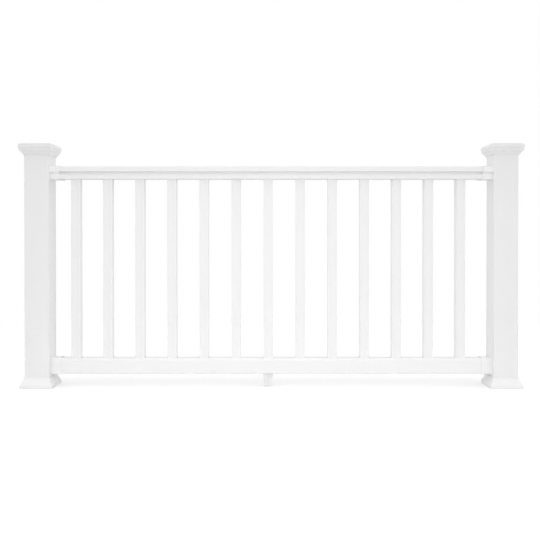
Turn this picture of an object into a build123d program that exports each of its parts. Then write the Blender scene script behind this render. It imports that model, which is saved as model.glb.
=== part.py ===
from build123d import *
import os

# Vinyl railing section, 6 ft wide and 36 in high, in millimetres.
# X runs along the railing from the left post to the right one, Y from front to back, Z up.
# The origin is on the left post's bottom end face, in the middle of its outer wall's thickness.

# Overall sizes: width between the posts, rail height, and how far the sleeves stand above the rail
CLEAR_WIDTH = 1828.8
RAIL_TOP_Z = 914.4
SLEEVE_ABOVE_RAIL = 91.3
BRACKET_ABOVE_TRIM = 9.1

# Post sleeve
POST_SIZE = 101.6
POST_WALL = 3.8
POST_CORNER = 5.0

# Balusters
BALUSTER_SIZE = 38.1
BALUSTER_WALL = 1.9
BALUSTER_CORNER = 2.5
BALUSTER_PITCH = 133.35
BALUSTER_ROW_SHIFT = -12.7
POCKET_CLEARANCE = 0.3
TOP_INSERTION = 24.0

# Top rail: nosing, waist and body, from the top down
RAIL_WALL = 2.5
NOSING_WIDTH = 88.9
NOSING_HEIGHT = 21.5
NOSING_TOP_CORNER = 6.0
NOSING_LOW_CORNER = 3.0
WAIST_WIDTH = 56.0
WAIST_HEIGHT = 9.5
BODY_WIDTH = 69.9
BODY_HEIGHT = 19.8
BODY_CORNER = 2.0
WEB_THICKNESS = 2.0

# Bottom rail
BOTTOM_RAIL_HEIGHT = 63.5
TOP_LAND = 0.55
SHOULDER_HEIGHT = 10.0
SHOULDER_INSET = 3.0
SHOULDER_CORNER = 1.0
BEAD_HEIGHT = 10.5
BEAD_PROUD = 2.5
BEAD_ROUND = 2.4
SEAT_WEB_DEPTH = 26.0
WEEP_HOLE_DIAMETER = 6.0
BALUSTERS_PER_WEEP_HOLE = 3

# Rail brackets
BRACKET_LENGTH = 42.0
BRACKET_WALL = 2.6
BRACKET_PLATE = 3.0
BRACKET_CLEARANCE = 0.3
BRACKET_WAIST_WIDTH = 70.5
RAIL_END_GAP = 0.5
SCREW_HOLE_DIAMETER = 4.5
PLATE_HOLE_SPREAD = 32.0

# Post cap
CAP_WALL = 2.3
CAP_BAND_REACH = 18.2
CAP_BAND_HEIGHT = 20.0
CAP_TOP_ROUND = 11.0
CAP_BAND_LOW_ROUND = 1.5
FASCIA_REACH = 15.8
FASCIA_HEIGHT = 10.0
FASCIA_LOW_ROUND = 2.0
BEVEL_HEIGHT = 16.0
BEVEL_STEP = 2.5
CAP_COLLAR_HEIGHT = 1.0
SLEEVE_CLEARANCE = 0.3
RIB_THICKNESS = 1.8
RIB_HEIGHT = 14.0
RIB_SPREAD = 60.0

# Base trim
TRIM_WALL = 2.2
TRIM_REACH = 15.9
TRIM_LIP_HEIGHT = 17.0
TRIM_LIP_ROUND = 5.0
TRIM_LIP_STEP = 2.8
TRIM_COVE_HEIGHT = 25.5
TRIM_COVE_RADIUS = 80.0
TRIM_COLLAR_HEIGHT = 1.5

# Support foot
FOOT_TOP_SIZE = 38.1
FOOT_LOW_SIZE = 33.0
FOOT_BORE = 24.0
FOOT_CORNER = 3.0
FOOT_GROOVE_WIDTH = 5.0
FOOT_GROOVE_DEPTH = 1.5

CUT_OVER = 1.0
CLOSE = 0.001

# Places worked out from the sizes
LEFT_POST_X = (POST_SIZE - POST_WALL) / 2
RIGHT_POST_X = LEFT_POST_X + POST_SIZE + CLEAR_WIDTH
LEFT_FACE_X = LEFT_POST_X + POST_SIZE / 2
RIGHT_FACE_X = RIGHT_POST_X - POST_SIZE / 2
BALUSTER_COUNT = int((CLEAR_WIDTH - BALUSTER_SIZE) / BALUSTER_PITCH)
MIDDLE_X = (LEFT_FACE_X + RIGHT_FACE_X) / 2 + BALUSTER_ROW_SHIFT
FIRST_BALUSTER_X = MIDDLE_X - (BALUSTER_COUNT - 1) / 2 * BALUSTER_PITCH
BALUSTER_XS = [FIRST_BALUSTER_X + i * BALUSTER_PITCH for i in range(BALUSTER_COUNT)]
FOOT_X = BALUSTER_XS[BALUSTER_COUNT // 2]
WEEP_XS = [x + BALUSTER_PITCH / 2 for x in BALUSTER_XS[1:-1:BALUSTERS_PER_WEEP_HOLE]]
POCKET_SIZE = BALUSTER_SIZE + 2 * POCKET_CLEARANCE
TOP_RAIL_HEIGHT = NOSING_HEIGHT + WAIST_HEIGHT + BODY_HEIGHT
TOP_RAIL_LOW_Z = RAIL_TOP_Z - TOP_RAIL_HEIGHT
BRACKET_GROWTH = BRACKET_CLEARANCE + BRACKET_WALL
TRIM_HEIGHT = TRIM_LIP_HEIGHT + TRIM_COVE_HEIGHT + TRIM_COLLAR_HEIGHT
BOTTOM_RAIL_LOW_Z = TRIM_HEIGHT + BRACKET_ABOVE_TRIM + BRACKET_GROWTH
BOTTOM_RAIL_TOP_Z = BOTTOM_RAIL_LOW_Z + BOTTOM_RAIL_HEIGHT
BOTTOM_RAIL_TOP_HALF = POCKET_SIZE / 2 + RAIL_WALL + TOP_LAND
BOTTOM_RAIL_HALF = BOTTOM_RAIL_TOP_HALF + SHOULDER_INSET
SEAT_Z = BOTTOM_RAIL_TOP_Z - SEAT_WEB_DEPTH
RAIL_START_X = LEFT_FACE_X + BRACKET_PLATE + RAIL_END_GAP
RAIL_LENGTH = CLEAR_WIDTH - 2 * (BRACKET_PLATE + RAIL_END_GAP)
SLEEVE_BORE = POST_SIZE / 2 + SLEEVE_CLEARANCE
CAP_HEIGHT = CAP_COLLAR_HEIGHT + BEVEL_HEIGHT + FASCIA_HEIGHT + CAP_BAND_HEIGHT
POST_HEIGHT = RAIL_TOP_Z + SLEEVE_ABOVE_RAIL
REACH = POST_SIZE


def rail_plane(x, low_z, inward=1):
    """A section plane across the railing that faces inward, with its height along Z."""
    return Plane(origin=(x, 0, low_z), x_dir=(0, inward, 0), z_dir=(inward, 0, 0))


def corners_at(height):
    """The outermost points of the outline in hand at a height, one on each side."""
    level = vertices().filter_by(lambda v: abs(v.Y - height) < CLOSE).sort_by(Axis.X)
    return [level[0], level[-1]]


def top_rail_outline(plane, growth=0.0, waist_width=WAIST_WIDTH):
    """The T profile, from its underside up, grown or shrunk evenly by growth."""
    body = BODY_WIDTH / 2
    waist = waist_width / 2
    nosing = NOSING_WIDTH / 2
    shelf = BODY_HEIGHT + WAIST_HEIGHT
    with BuildSketch(plane) as outline:
        with BuildLine():
            Polyline(
                (0, 0),
                (body, 0),
                (body, BODY_HEIGHT),
                (waist, BODY_HEIGHT),
                (waist, shelf),
                (nosing, shelf),
                (nosing, TOP_RAIL_HEIGHT),
                (0, TOP_RAIL_HEIGHT),
            )
            mirror(about=Plane.YZ)
        make_face()
        fillet(corners_at(0) + corners_at(BODY_HEIGHT), radius=BODY_CORNER)
        fillet(corners_at(shelf), radius=NOSING_LOW_CORNER)
        fillet(vertices().group_by(Axis.Y)[-1], radius=NOSING_TOP_CORNER)
        if growth:
            offset(amount=growth, kind=Kind.INTERSECTION)
    return outline.sketch


def bottom_rail_outline(plane, growth=0.0):
    """The bottom rail's profile: sloped shoulders above, a small bead along the foot."""
    half = BOTTOM_RAIL_HALF
    top = BOTTOM_RAIL_TOP_HALF
    with BuildSketch(plane) as outline:
        with BuildLine():
            Polyline(
                (0, 0),
                (half + BEAD_PROUD, 0),
                (half + BEAD_PROUD, BEAD_HEIGHT),
                (half, BEAD_HEIGHT),
                (half, BOTTOM_RAIL_HEIGHT - SHOULDER_HEIGHT),
                (top, BOTTOM_RAIL_HEIGHT),
                (0, BOTTOM_RAIL_HEIGHT),
            )
            mirror(about=Plane.YZ)
        make_face()
        fillet(corners_at(BOTTOM_RAIL_HEIGHT), radius=SHOULDER_CORNER)
        fillet(corners_at(BEAD_HEIGHT) + corners_at(0), radius=BEAD_ROUND)
        if growth:
            offset(amount=growth, kind=Kind.INTERSECTION)
    return outline.sketch


def pocket_outlines(z):
    """Square routed holes for the balusters, drawn just under the wall that starts at z."""
    with BuildSketch(Plane.XY.offset(z - CUT_OVER)) as pockets:
        with Locations(*[(x, 0) for x in BALUSTER_XS]):
            Rectangle(POCKET_SIZE, POCKET_SIZE)
    return pockets.sketch


def square_tube(centre_x, low_z, size, wall, corner):
    """The section of a hollow square tube that stands upright at centre_x."""
    with BuildSketch(Plane.XY.offset(low_z)) as section:
        with Locations((centre_x, 0)):
            RectangleRounded(size, size, corner)
            Rectangle(size - 2 * wall, size - 2 * wall, mode=Mode.SUBTRACT)
    return section.sketch


def post_sleeve(centre_x):
    """A hollow square post tube, open at both ends."""
    with BuildPart() as sleeve:
        extrude(square_tube(centre_x, 0, POST_SIZE, POST_WALL, POST_CORNER), amount=POST_HEIGHT)
    return sleeve


def square_moulding(outline, centre_x, low_z):
    """A moulding with a square plan: one outline run through both ways, mitred at the corners."""
    origin = (centre_x, 0, low_z)
    with BuildPart() as moulding:
        extrude(outline(Plane(origin=origin, x_dir=(1, 0, 0), z_dir=(0, -1, 0))), amount=REACH, both=True)
        across = outline(Plane(origin=origin, x_dir=(0, 1, 0), z_dir=(1, 0, 0)))
        extrude(across, amount=REACH, both=True, mode=Mode.INTERSECT)
    return moulding.part


def cap_outside(plane):
    """Collar, bevel, fascia and a round-edged top band, from the collar's lower edge up."""
    collar = SLEEVE_BORE + CAP_WALL
    fascia = POST_SIZE / 2 + FASCIA_REACH
    band = POST_SIZE / 2 + CAP_BAND_REACH
    bevel_high = CAP_COLLAR_HEIGHT + BEVEL_HEIGHT
    band_low = bevel_high + FASCIA_HEIGHT
    with BuildSketch(plane) as outline:
        with BuildLine():
            Polyline(
                (0, 0),
                (collar, 0),
                (collar, CAP_COLLAR_HEIGHT),
                (fascia - BEVEL_STEP, bevel_high),
                (fascia, bevel_high),
                (fascia, band_low),
                (band, band_low),
                (band, CAP_HEIGHT),
                (0, CAP_HEIGHT),
            )
            mirror(about=Plane.YZ)
        make_face()
        fillet(corners_at(CAP_HEIGHT), radius=CAP_TOP_ROUND)
        fillet(corners_at(band_low), radius=CAP_BAND_LOW_ROUND)
        fillet(corners_at(bevel_high), radius=FASCIA_LOW_ROUND)
    return outline.sketch


def cap_inside(plane):
    """The cap's outside shrunk by its wall, with the sleeve's bore run out below."""
    with BuildSketch(plane) as outline:
        add(cap_outside(Plane.XY))
        offset(amount=-CAP_WALL, kind=Kind.INTERSECTION)
        Rectangle(2 * SLEEVE_BORE, CAP_HEIGHT - CAP_WALL, align=(Align.CENTER, Align.MIN))
    return outline.sketch


def rib_outlines(centre_x):
    """Two upright ribs on each side of the cap's inside, which centre it on the sleeve."""
    with BuildSketch(Plane.XY.offset(POST_HEIGHT - RIB_HEIGHT)) as ribs:
        with Locations((centre_x, 0)):
            with PolarLocations(SLEEVE_BORE + CAP_BAND_REACH / 2, 4):
                with Locations((0, -RIB_SPREAD / 2), (0, RIB_SPREAD / 2)):
                    Rectangle(CAP_BAND_REACH, RIB_THICKNESS)
    return ribs.sketch


def post_cap(centre_x):
    """A moulded cap that fits over the sleeve and rests on its top edge."""
    low_z = POST_HEIGHT + CAP_WALL - CAP_HEIGHT
    with BuildPart() as inside:
        add(square_moulding(cap_inside, centre_x, low_z))
        extrude(rib_outlines(centre_x), amount=RIB_HEIGHT, mode=Mode.SUBTRACT)
    with BuildPart() as cap:
        add(square_moulding(cap_outside, centre_x, low_z))
        add(inside.part, mode=Mode.SUBTRACT)
    return cap


def trim_outside(plane):
    """A skirt with a round-edged lip and a cove that sweeps in to the post."""
    lip = POST_SIZE / 2 + TRIM_REACH
    lip_face = TRIM_LIP_HEIGHT - TRIM_LIP_ROUND
    cove_foot = lip - TRIM_LIP_STEP
    collar = SLEEVE_BORE + TRIM_WALL
    cove_high = TRIM_LIP_HEIGHT + TRIM_COVE_HEIGHT
    with BuildSketch(plane) as outline:
        with BuildLine():
            Polyline((0, 0), (lip, 0), (lip, lip_face))
            TangentArc((lip, lip_face), (cove_foot, TRIM_LIP_HEIGHT), tangent=(0, 1))
            RadiusArc((cove_foot, TRIM_LIP_HEIGHT), (collar, cove_high), TRIM_COVE_RADIUS)
            Polyline((collar, cove_high), (collar, TRIM_HEIGHT), (0, TRIM_HEIGHT))
            mirror(about=Plane.YZ)
        make_face()
    return outline.sketch


def trim_inside(plane):
    """The trim's outside shrunk by its wall, with its mouth below and the sleeve's bore above."""
    mouth = POST_SIZE / 2 + TRIM_REACH - TRIM_WALL
    with BuildSketch(plane) as outline:
        add(trim_outside(Plane.XY))
        offset(amount=-TRIM_WALL, kind=Kind.ARC)
        Rectangle(2 * mouth, TRIM_LIP_HEIGHT / 2, align=(Align.CENTER, Align.MIN))
        Rectangle(2 * SLEEVE_BORE, TRIM_HEIGHT, align=(Align.CENTER, Align.MIN))
    return outline.sketch


def base_trim(centre_x):
    """A moulded skirt round the foot of a post."""
    with BuildPart() as trim:
        add(square_moulding(trim_outside, centre_x, 0))
        add(square_moulding(trim_inside, centre_x, 0), mode=Mode.SUBTRACT)
    return trim


def top_rail():
    """The T-shaped hollow rail, with a web under its nosing and pockets in its underside."""
    plane = rail_plane(RAIL_START_X, TOP_RAIL_LOW_Z)
    with BuildPart() as rail:
        extrude(top_rail_outline(plane), amount=RAIL_LENGTH)
        extrude(top_rail_outline(plane, -RAIL_WALL), amount=RAIL_LENGTH, mode=Mode.SUBTRACT)
        with BuildSketch(plane):
            with Locations((0, BODY_HEIGHT + WAIST_HEIGHT + WEB_THICKNESS / 2)):
                Rectangle(WAIST_WIDTH, WEB_THICKNESS)
        extrude(amount=RAIL_LENGTH)
        extrude(pocket_outlines(TOP_RAIL_LOW_Z), amount=RAIL_WALL + 2 * CUT_OVER, mode=Mode.SUBTRACT)
    return rail


def bottom_rail():
    """The hollow lower rail, with a web that the balusters stand on."""
    plane = rail_plane(RAIL_START_X, BOTTOM_RAIL_LOW_Z)
    with BuildPart() as rail:
        extrude(bottom_rail_outline(plane), amount=RAIL_LENGTH)
        extrude(bottom_rail_outline(plane, -RAIL_WALL), amount=RAIL_LENGTH, mode=Mode.SUBTRACT)
        with BuildSketch(plane):
            with Locations((0, BOTTOM_RAIL_HEIGHT - SEAT_WEB_DEPTH - WEB_THICKNESS / 2)):
                Rectangle(2 * BOTTOM_RAIL_HALF - RAIL_WALL, WEB_THICKNESS)
        extrude(amount=RAIL_LENGTH)
        pockets = pocket_outlines(BOTTOM_RAIL_TOP_Z - RAIL_WALL)
        extrude(pockets, amount=RAIL_WALL + 2 * CUT_OVER, mode=Mode.SUBTRACT)
        with BuildSketch(Plane.XY.offset(BOTTOM_RAIL_LOW_Z)):
            with Locations(*[(x, 0) for x in WEEP_XS]):
                Circle(WEEP_HOLE_DIAMETER / 2)
        extrude(amount=RAIL_WALL + CUT_OVER, mode=Mode.SUBTRACT)
    return rail


def baluster(centre_x):
    """A hollow square picket that stands in the bottom rail and ends inside the top rail."""
    with BuildPart() as picket:
        section = square_tube(centre_x, SEAT_Z, BALUSTER_SIZE, BALUSTER_WALL, BALUSTER_CORNER)
        extrude(section, amount=TOP_RAIL_LOW_Z + TOP_INSERTION - SEAT_Z)
    return picket


def top_bracket_outline(plane):
    """The outside of a top bracket: the rail's outline grown, with a shallower waist."""
    return top_rail_outline(plane, BRACKET_GROWTH, BRACKET_WAIST_WIDTH - 2 * BRACKET_GROWTH)


def bottom_bracket_outline(plane):
    """The outside of a bottom bracket."""
    return bottom_rail_outline(plane, BRACKET_GROWTH)


def rail_bracket(face_x, inward, low_z, outside, rail_outline, rail_height, screw_rise):
    """A cup that follows the rail's outline, with its plate flat on the post's face."""
    screw_x = face_x + inward * (BRACKET_PLATE + BRACKET_LENGTH) / 2
    with BuildPart() as bracket:
        extrude(outside(rail_plane(face_x, low_z, inward)), amount=BRACKET_LENGTH)
        mouth = rail_plane(face_x + inward * BRACKET_PLATE, low_z, inward)
        extrude(rail_outline(mouth, BRACKET_CLEARANCE), amount=BRACKET_LENGTH, mode=Mode.SUBTRACT)
        with BuildSketch(rail_plane(face_x, low_z, inward)):
            with Locations((0, rail_height / 2)):
                with GridLocations(PLATE_HOLE_SPREAD, 0, 2, 1):
                    Circle(SCREW_HOLE_DIAMETER / 2)
        extrude(amount=BRACKET_PLATE, mode=Mode.SUBTRACT)
        with BuildSketch(Plane(origin=(screw_x, 0, low_z + screw_rise), z_dir=(0, 1, 0))):
            Circle(SCREW_HOLE_DIAMETER / 2)
        extrude(amount=NOSING_WIDTH, mode=Mode.SUBTRACT)
    return bracket


def support_foot():
    """A tapered hollow block under the bottom rail, grooved down the middle of each side."""
    with BuildPart() as foot:
        for z, size in ((0, FOOT_LOW_SIZE), (BOTTOM_RAIL_LOW_Z, FOOT_TOP_SIZE)):
            with BuildSketch(Plane.XY.offset(z)):
                with Locations((FOOT_X, 0)):
                    RectangleRounded(size, size, FOOT_CORNER)
                    with PolarLocations(size / 2, 4):
                        Rectangle(2 * FOOT_GROOVE_DEPTH, FOOT_GROOVE_WIDTH, mode=Mode.SUBTRACT)
        loft()
        with BuildSketch(Plane.XY):
            with Locations((FOOT_X, 0)):
                Rectangle(FOOT_BORE, FOOT_BORE)
        extrude(amount=BOTTOM_RAIL_LOW_Z, mode=Mode.SUBTRACT)
    return foot


def save(piece, label):
    """Label one finished piece and write it as its own file."""
    piece.part.label = label
    export_step(piece.part, f"parts/{label}.step")


os.makedirs("parts", exist_ok=True)

for side, post_x in (("left", LEFT_POST_X), ("right", RIGHT_POST_X)):
    save(post_sleeve(post_x), f"{side}_post_sleeve")
    save(post_cap(post_x), f"{side}_post_cap")
    save(base_trim(post_x), f"{side}_base_trim")

for side, face_x, inward in (("left", LEFT_FACE_X, 1), ("right", RIGHT_FACE_X, -1)):
    top_sizes = (TOP_RAIL_LOW_Z, top_bracket_outline, top_rail_outline, TOP_RAIL_HEIGHT, BODY_HEIGHT / 2)
    save(rail_bracket(face_x, inward, *top_sizes), f"top_{side}_bracket")
    bottom_sizes = (
        BOTTOM_RAIL_LOW_Z,
        bottom_bracket_outline,
        bottom_rail_outline,
        BOTTOM_RAIL_HEIGHT,
        BOTTOM_RAIL_HEIGHT / 2,
    )
    save(rail_bracket(face_x, inward, *bottom_sizes), f"bottom_{side}_bracket")

save(top_rail(), "top_rail")
save(bottom_rail(), "bottom_rail")
for number, baluster_x in enumerate(BALUSTER_XS, start=1):
    save(baluster(baluster_x), f"baluster_{number:02d}")
save(support_foot(), "support_foot")
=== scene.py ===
import math

import bmesh
import bpy
from mathutils import Matrix, Vector


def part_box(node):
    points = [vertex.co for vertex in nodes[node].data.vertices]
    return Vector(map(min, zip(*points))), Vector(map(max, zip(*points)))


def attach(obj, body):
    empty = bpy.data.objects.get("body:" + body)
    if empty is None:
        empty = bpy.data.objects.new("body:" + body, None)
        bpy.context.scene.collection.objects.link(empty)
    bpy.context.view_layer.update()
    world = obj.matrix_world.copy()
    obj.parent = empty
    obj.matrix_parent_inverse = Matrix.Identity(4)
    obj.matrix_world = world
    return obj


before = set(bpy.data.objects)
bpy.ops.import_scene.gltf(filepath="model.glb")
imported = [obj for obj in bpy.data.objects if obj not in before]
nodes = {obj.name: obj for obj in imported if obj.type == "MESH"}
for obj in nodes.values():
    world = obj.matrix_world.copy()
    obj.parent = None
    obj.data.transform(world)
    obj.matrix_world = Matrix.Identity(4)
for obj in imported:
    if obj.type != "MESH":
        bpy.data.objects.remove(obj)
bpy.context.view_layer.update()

# Looks of the vinyl railing section, in metres, in the CAD model's own frame.

# The photograph's camera, fitted to the edges of posts, balusters, rails, caps and trims
PHOTO_SIZE_PX = 540
FOCAL_PX = 696.7
AXIS_ROW_PX = 240.7
SENSOR_WIDTH_MM = 36.0
CAMERA_BACK = 2.9129
CAMERA_HEIGHT = 0.6338
CAMERA_OFF_MIDDLE = -0.0052
CAMERA_PITCH_DOWN = 0.0089

# The surround: its grey, and its strength along, across and above the railing
WORLD_GREY = 0.8
WORLD_ALONG = 1.42
WORLD_ACROSS = 0.74
WORLD_ABOVE = 1.1

# The lamps: place and target from the railing's middle at the floor, width, height and power.
# The near one faces the middle, shelf and skirt run along the railing, the others stand aside.
LAMPS = {
    "near": ((0, -1.7, 0.9), (0, 0, 0.5), 0.8, 0.6, 2.5),
    "shelf": ((0, -0.8, 0.85), (0, 0, 0.1), 2.4, 0.2, 2.4),
    "skirt": ((0, -0.42, 0.03), (0, 0, 0.05), 2.4, 0.04, 0.7),
    "left": ((-2.6, -1.4, 1.1), (-0.9, 0, 0.5), 1.0, 1.2, 3.0),
    "right": ((2.6, -1.4, 1.1), (0.9, 0, 0.5), 1.0, 1.2, 4.0),
}

# The floor: its size, where it fades to white, and how other surfaces and the camera see it
FLOOR_HALF = 14.0
FLOOR_FADE_START = 1.3
FLOOR_FADE_END = 2.6
FLOOR_ALBEDO = 0.7
FLOOR_SEEN = 0.98
FLOOR_GLOW = 0.16

# The strength at which a background shows as plain white
PLAIN_WHITE = 1.0

# Vinyl colours, linear, and how far the clouds in them go down and up
POST_WHITE = (0.835, 0.835, 0.84)
RAIL_WHITE = (0.87, 0.87, 0.87)
BALUSTER_WHITE = (0.86, 0.86, 0.86)
CAP_WHITE = (0.83, 0.83, 0.825)
TRIM_WHITE = (0.86, 0.86, 0.86)
BRACKET_WHITE = (0.885, 0.885, 0.885)
TINT_LOW = 0.985
TINT_HIGH = 1.012

# The way that the drawn lines run: up the posts and balusters, along the rails, or none
DRAWN_OUT = 0.012
UPRIGHT = (1.0, 1.0, DRAWN_OUT)
LENGTHWISE = (DRAWN_OUT, 1.0, 1.0)
EVEN = (1.0, 1.0, 1.0)

# Roughness of the shiniest and the dullest spots
EXTRUDED_SHEEN = (0.30, 0.40)
BALUSTER_SHEEN = (0.32, 0.42)
MOULDED_SHEEN = (0.26, 0.36)
BRACKET_SHEEN = (0.28, 0.38)

# Bump strength of the drawn lines and of the fine peel
EXTRUDED_GRAIN = (0.30, 0.10)
MOULDED_GRAIN = (0.05, 0.25)

# Noise patterns: scale, detail and roughness
LINES = (420.0, 2.0, 0.5)
WAVES = (16.0, 1.5, 0.5)
PEEL = (900.0, 2.0, 0.5)
CLOUDS = (7.0, 3.0, 0.6)
SMEARS = (22.0, 4.0, 0.65)

# Surface of the vinyl: bump heights, rounded edges, the smears' range and the gloss
LINE_HEIGHT = 0.00006
PEEL_HEIGHT = 0.00004
WAVE_HEIGHT = 0.0008
WAVE_STRENGTH = 0.35
EDGE_RADIUS = 0.0007
EDGE_SAMPLES = 4
SMEAR_LOW = 0.3
SMEAR_HIGH = 0.7
VINYL_IOR = 1.52

# White-coated pan-head screws: radius and height of each ring of the head, then recess and shank
SCREW_HEAD_PROFILE = (
    (0.0042, 0.0),
    (0.0042, 0.0007),
    (0.0039, 0.0015),
    (0.0033, 0.0021),
    (0.0026, 0.0024),
)
SCREW_SEGMENTS = 32
RECESS_ARM = 0.0021
RECESS_HALF = 0.00045
RECESS_DEPTH = 0.0013
RECESS_TAPER = 0.55
SHANK_RADIUS = 0.0019
SHANK_LENGTH = 0.011
SHANK_POINT = 0.003

# Places of the screws: in from a bracket's post end and up from its underside
BRACKET_SCREW_IN = 0.0225
TOP_SCREW_RISE = 0.0128
BOTTOM_SCREW_RISE = 0.03465

# The bracket's rear face is found this far beside the hole, by a ray from well behind
BESIDE_HOLE = 0.006
WELL_BEHIND = 1.0

# Turn of a screw in radians: a common part, a part by its side and a part by its height
SCREW_TURN = 0.4
SIDE_TURN = 0.9
RISE_TURN = 0.3

left_post_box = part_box("left_post_sleeve")
right_post_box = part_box("right_post_sleeve")
middle_x = (left_post_box[1].x + right_post_box[0].x) / 2


def add_camera():
    """A camera with the photograph's place and framing."""
    data = bpy.data.cameras.new("photo_camera")
    data.sensor_fit = "HORIZONTAL"
    data.sensor_width = SENSOR_WIDTH_MM
    data.lens = FOCAL_PX / PHOTO_SIZE_PX * SENSOR_WIDTH_MM
    data.shift_y = -(PHOTO_SIZE_PX / 2 - AXIS_ROW_PX) / PHOTO_SIZE_PX
    camera = bpy.data.objects.new("photo_camera", data)
    camera.location = (middle_x + CAMERA_OFF_MIDDLE, -CAMERA_BACK, CAMERA_HEIGHT)
    camera.rotation_euler = (math.pi / 2 - CAMERA_PITCH_DOWN, 0, 0)
    bpy.context.scene.collection.objects.link(camera)
    bpy.context.scene.camera = camera


def add_lamp(name, place, target, width, height, power):
    """A soft rectangular lamp that points at a target and shows in no reflection."""
    data = bpy.data.lights.new(name, "AREA")
    data.shape = "RECTANGLE"
    data.size = width
    data.size_y = height
    data.energy = power
    lamp = bpy.data.objects.new(name, data)
    lamp.location = place
    aim = target - place
    lamp.rotation_euler = aim.to_track_quat("-Z", "Y").to_euler()
    lamp.visible_camera = False
    lamp.visible_glossy = False
    bpy.context.scene.collection.objects.link(lamp)


def add_lamps():
    """The weak lamps in front of the railing."""
    middle = Vector((middle_x, 0, 0))
    for name, (place, target, width, height, power) in LAMPS.items():
        add_lamp(name, middle + Vector(place), middle + Vector(target), width, height, power)


def background_rays(tree):
    """One for the rays that look at the background: from the camera, a gloss or clear glass."""
    path = tree.nodes.new("ShaderNodeLightPath")
    looking = path.outputs["Is Camera Ray"]
    for kind in ("Is Glossy Ray", "Is Transmission Ray"):
        either = tree.nodes.new("ShaderNodeMath")
        either.operation = "MAXIMUM"
        tree.links.new(looking, either.inputs[0])
        tree.links.new(path.outputs[kind], either.inputs[1])
        looking = either.outputs[0]
    return looking


def diffuse(tree, grey):
    """A plain diffuse shader of one grey."""
    node = tree.nodes.new("ShaderNodeBsdfDiffuse")
    node.inputs["Color"].default_value = (grey, grey, grey, 1)
    return node.outputs[0]


def glow(tree, strength):
    """A white glow of one strength."""
    node = tree.nodes.new("ShaderNodeEmission")
    node.inputs["Strength"].default_value = strength
    return node.outputs[0]


def mix_shaders(tree, share, first, second):
    """The first shader where the share is zero, and the second where it is one."""
    node = tree.nodes.new("ShaderNodeMixShader")
    tree.links.new(share, node.inputs["Fac"])
    tree.links.new(first, node.inputs[1])
    tree.links.new(second, node.inputs[2])
    return node.outputs[0]


def map_range(tree, value, low, high, to_low=0.0, to_high=1.0):
    """A value between two limits, carried over to two others."""
    node = tree.nodes.new("ShaderNodeMapRange")
    node.inputs["From Min"].default_value = low
    node.inputs["From Max"].default_value = high
    node.inputs["To Min"].default_value = to_low
    node.inputs["To Max"].default_value = to_high
    tree.links.new(value, node.inputs["Value"])
    return node.outputs["Result"]


def add_world():
    """An even studio surround, which the camera sees as plain white."""
    world = bpy.data.worlds.new("studio")
    bpy.context.scene.world = world
    world.use_nodes = True
    tree = world.node_tree
    tree.nodes.clear()
    direction = tree.nodes.new("ShaderNodeTexCoord").outputs["Generated"]
    squares = tree.nodes.new("ShaderNodeVectorMath")
    squares.operation = "MULTIPLY"
    tree.links.new(direction, squares.inputs[0])
    tree.links.new(direction, squares.inputs[1])
    level = tree.nodes.new("ShaderNodeVectorMath")
    level.operation = "DOT_PRODUCT"
    level.inputs[1].default_value = (WORLD_ALONG, WORLD_ACROSS, WORLD_ABOVE)
    tree.links.new(squares.outputs["Vector"], level.inputs[0])
    lit = tree.nodes.new("ShaderNodeBackground")
    lit.inputs["Color"].default_value = (WORLD_GREY, WORLD_GREY, WORLD_GREY, 1)
    tree.links.new(level.outputs["Value"], lit.inputs["Strength"])
    seen = tree.nodes.new("ShaderNodeBackground")
    seen.inputs["Color"].default_value = (1, 1, 1, 1)
    seen.inputs["Strength"].default_value = PLAIN_WHITE
    shader = mix_shaders(tree, background_rays(tree), lit.outputs[0], seen.outputs[0])
    output = tree.nodes.new("ShaderNodeOutputWorld")
    tree.links.new(shader, output.inputs["Surface"])


def floor_material():
    """A pale floor that keeps the object's shadow and fades to white far away."""
    material = bpy.data.materials.new("floor_white")
    material.use_nodes = True
    tree = material.node_tree
    tree.nodes.clear()
    distance = tree.nodes.new("ShaderNodeVectorMath")
    distance.operation = "LENGTH"
    tree.links.new(tree.nodes.new("ShaderNodeTexCoord").outputs["Object"], distance.inputs[0])
    fade = map_range(tree, distance.outputs["Value"], FLOOR_FADE_START, FLOOR_FADE_END)
    near = tree.nodes.new("ShaderNodeAddShader")
    tree.links.new(diffuse(tree, FLOOR_SEEN), near.inputs[0])
    tree.links.new(glow(tree, FLOOR_GLOW), near.inputs[1])
    seen = mix_shaders(tree, fade, near.outputs[0], glow(tree, PLAIN_WHITE))
    shader = mix_shaders(tree, background_rays(tree), diffuse(tree, FLOOR_ALBEDO), seen)
    output = tree.nodes.new("ShaderNodeOutputMaterial")
    tree.links.new(shader, output.inputs["Surface"])
    return material


def add_floor():
    """One large square under the railing, which is no part of it."""
    mesh = bpy.data.meshes.new("floor")
    half = FLOOR_HALF
    corners = [(-half, -half, 0), (half, -half, 0), (half, half, 0), (-half, half, 0)]
    mesh.from_pydata(corners, [], [(0, 1, 2, 3)])
    mesh.materials.append(floor_material())
    floor = bpy.data.objects.new("floor", mesh)
    floor.location = (middle_x, 0, 0)
    bpy.context.scene.collection.objects.link(floor)


def noise(tree, vector, pattern):
    """One noise texture on a vector."""
    scale, detail, roughness = pattern
    node = tree.nodes.new("ShaderNodeTexNoise")
    node.inputs["Scale"].default_value = scale
    node.inputs["Detail"].default_value = detail
    node.inputs["Roughness"].default_value = roughness
    tree.links.new(vector, node.inputs["Vector"])
    return node.outputs["Fac"]


def bump(tree, height, distance, strength, normal):
    """One bump layer, stacked on an earlier normal."""
    node = tree.nodes.new("ShaderNodeBump")
    node.inputs["Distance"].default_value = distance
    node.inputs["Strength"].default_value = strength
    tree.links.new(height, node.inputs["Height"])
    tree.links.new(normal, node.inputs["Normal"])
    return node.outputs["Normal"]


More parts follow.
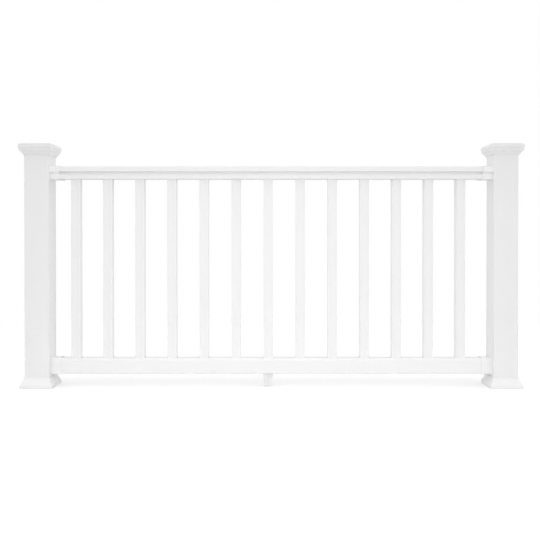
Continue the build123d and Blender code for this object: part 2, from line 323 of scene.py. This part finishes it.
def vinyl(name, colour, stretch, sheen, grain):
    """White PVC: faint drawn lines along the extrusion, slow waves, fine peel and uneven sheen."""
    line_strength, peel_strength = grain
    material = bpy.data.materials.new(name)
    material.use_nodes = True
    tree = material.node_tree
    shader = tree.nodes["Principled BSDF"]
    shader.inputs["IOR"].default_value = VINYL_IOR
    place = tree.nodes.new("ShaderNodeTexCoord").outputs["Object"]
    mapping = tree.nodes.new("ShaderNodeMapping")
    mapping.inputs["Scale"].default_value = stretch
    tree.links.new(place, mapping.inputs["Vector"])
    along = mapping.outputs["Vector"]

    edge = tree.nodes.new("ShaderNodeBevel")
    edge.samples = EDGE_SAMPLES
    edge.inputs["Radius"].default_value = EDGE_RADIUS
    waves = noise(tree, along, WAVES)
    lines = noise(tree, along, LINES)
    peel = noise(tree, place, PEEL)
    normal = bump(tree, waves, WAVE_HEIGHT, WAVE_STRENGTH, edge.outputs["Normal"])
    normal = bump(tree, lines, LINE_HEIGHT, line_strength, normal)
    normal = bump(tree, peel, PEEL_HEIGHT, peel_strength, normal)
    tree.links.new(normal, shader.inputs["Normal"])

    tint = tree.nodes.new("ShaderNodeMix")
    tint.data_type = "RGBA"
    tint.inputs["A"].default_value = (*[part * TINT_LOW for part in colour], 1)
    tint.inputs["B"].default_value = (*[part * TINT_HIGH for part in colour], 1)
    tree.links.new(noise(tree, place, CLOUDS), tint.inputs["Factor"])
    tree.links.new(tint.outputs["Result"], shader.inputs["Base Color"])

    roughness = map_range(tree, noise(tree, place, SMEARS), SMEAR_LOW, SMEAR_HIGH, *sheen)
    tree.links.new(roughness, shader.inputs["Roughness"])
    return material


def dress(word, material):
    """Give one material to the CAD nodes that have a word in their names."""
    for name, node in nodes.items():
        if word in name:
            node.data.materials.clear()
            node.data.materials.append(material)


def back_face(node, x, z):
    """How far back a node's rear face is at one place."""
    block = nodes[node]
    to_local = block.matrix_world.inverted()
    start = to_local @ Vector((x, WELL_BEHIND, z))
    toward = to_local.to_3x3() @ Vector((0, -1, 0))
    place = block.ray_cast(start, toward)[1]
    return (block.matrix_world @ place).y


def ring(mesh, radius, height):
    """One circle of vertices round the screw's axis."""
    turns = [2 * math.pi * i / SCREW_SEGMENTS for i in range(SCREW_SEGMENTS)]
    return [mesh.verts.new((radius * math.cos(a), radius * math.sin(a), height)) for a in turns]


def bridge(mesh, low, high):
    """A band of faces between two rings with the same number of vertices."""
    count = len(low)
    for i in range(count):
        mesh.faces.new((low[i], low[(i + 1) % count], high[(i + 1) % count], high[i]))


def cross_outline(arm, half):
    """The corners of a plus sign, in order round its middle."""
    corners = []
    for quarter in range(4):
        turn = Matrix.Rotation(quarter * math.pi / 2, 2)
        corners += [turn @ Vector(corner) for corner in ((half, -arm), (half, -half), (arm, -half))]
    return corners


def screw_mesh():
    """A pan head with a tapered cross recess, and a pointed shank, along +Z."""
    mesh = bmesh.new()
    rings = [ring(mesh, radius, height) for radius, height in SCREW_HEAD_PROFILE]
    for low, high in zip(rings, rings[1:]):
        bridge(mesh, low, high)
    top = SCREW_HEAD_PROFILE[-1][1]
    outline = cross_outline(RECESS_ARM, RECESS_HALF)
    mouth = [mesh.verts.new((*corner, top)) for corner in outline]
    floor = [mesh.verts.new((*corner * RECESS_TAPER, top - RECESS_DEPTH)) for corner in outline]
    bridge(mesh, floor, mouth)
    mesh.faces.new(floor)
    rim = [mesh.edges.get((rings[-1][i - 1], rings[-1][i])) for i in range(SCREW_SEGMENTS)]
    lip = [mesh.edges.get((mouth[i - 1], mouth[i])) for i in range(len(mouth))]
    bmesh.ops.triangle_fill(mesh, use_beauty=True, edges=rim + lip)
    neck = ring(mesh, SHANK_RADIUS, 0)
    tail = ring(mesh, SHANK_RADIUS, SHANK_POINT - SHANK_LENGTH)
    tip = mesh.verts.new((0, 0, -SHANK_LENGTH))
    bridge(mesh, neck, rings[0])
    bridge(mesh, tail, neck)
    for i in range(SCREW_SEGMENTS):
        mesh.faces.new((tip, tail[(i + 1) % SCREW_SEGMENTS], tail[i]))
    bmesh.ops.recalc_face_normals(mesh, faces=mesh.faces)
    data = bpy.data.meshes.new("pan_head_screw")
    mesh.to_mesh(data)
    mesh.free()
    return data


def add_screw(name, node, x, z, turn, material):
    """One screw in a bracket's rear hole, its head flat on the bracket."""
    piece = bpy.data.objects.new(name, screw_mesh())
    bpy.context.scene.collection.objects.link(piece)
    seat = Vector((x, back_face(node, x + BESIDE_HOLE, z), z))
    facing_back = Matrix.Rotation(-math.pi / 2, 4, "X")
    piece.matrix_world = Matrix.Translation(seat) @ facing_back @ Matrix.Rotation(turn, 4, "Z")
    piece.data.materials.append(material)
    bpy.context.view_layer.update()
    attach(piece, "root")


def add_screws(material):
    """The four screws in the backs of the brackets."""
    for side, inward in (("left", 1), ("right", -1)):
        for level, rise in (("top", TOP_SCREW_RISE), ("bottom", BOTTOM_SCREW_RISE)):
            bracket = f"{level}_{side}_bracket"
            low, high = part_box(bracket)
            post_end = low.x if inward > 0 else high.x
            x = post_end + inward * BRACKET_SCREW_IN
            turn = SCREW_TURN + SIDE_TURN * inward + RISE_TURN * rise / TOP_SCREW_RISE
            add_screw(f"{level}_{side}_screw", bracket, x, low.z + rise, turn, material)


add_camera()
add_world()
add_floor()
add_lamps()

post_vinyl = vinyl("post_vinyl", POST_WHITE, UPRIGHT, EXTRUDED_SHEEN, EXTRUDED_GRAIN)
rail_vinyl = vinyl("rail_vinyl", RAIL_WHITE, LENGTHWISE, EXTRUDED_SHEEN, EXTRUDED_GRAIN)
baluster_vinyl = vinyl("baluster_vinyl", BALUSTER_WHITE, UPRIGHT, BALUSTER_SHEEN, EXTRUDED_GRAIN)
cap_vinyl = vinyl("cap_vinyl", CAP_WHITE, EVEN, MOULDED_SHEEN, MOULDED_GRAIN)
trim_vinyl = vinyl("trim_vinyl", TRIM_WHITE, EVEN, MOULDED_SHEEN, MOULDED_GRAIN)
bracket_vinyl = vinyl("bracket_vinyl", BRACKET_WHITE, EVEN, BRACKET_SHEEN, MOULDED_GRAIN)

dress("post_sleeve", post_vinyl)
dress("rail", rail_vinyl)
dress("baluster", baluster_vinyl)
dress("post_cap", cap_vinyl)
dress("base_trim", trim_vinyl)
dress("support_foot", trim_vinyl)
dress("bracket", bracket_vinyl)
add_screws(bracket_vinyl)

bpy.context.scene.view_settings.view_transform = "Standard"
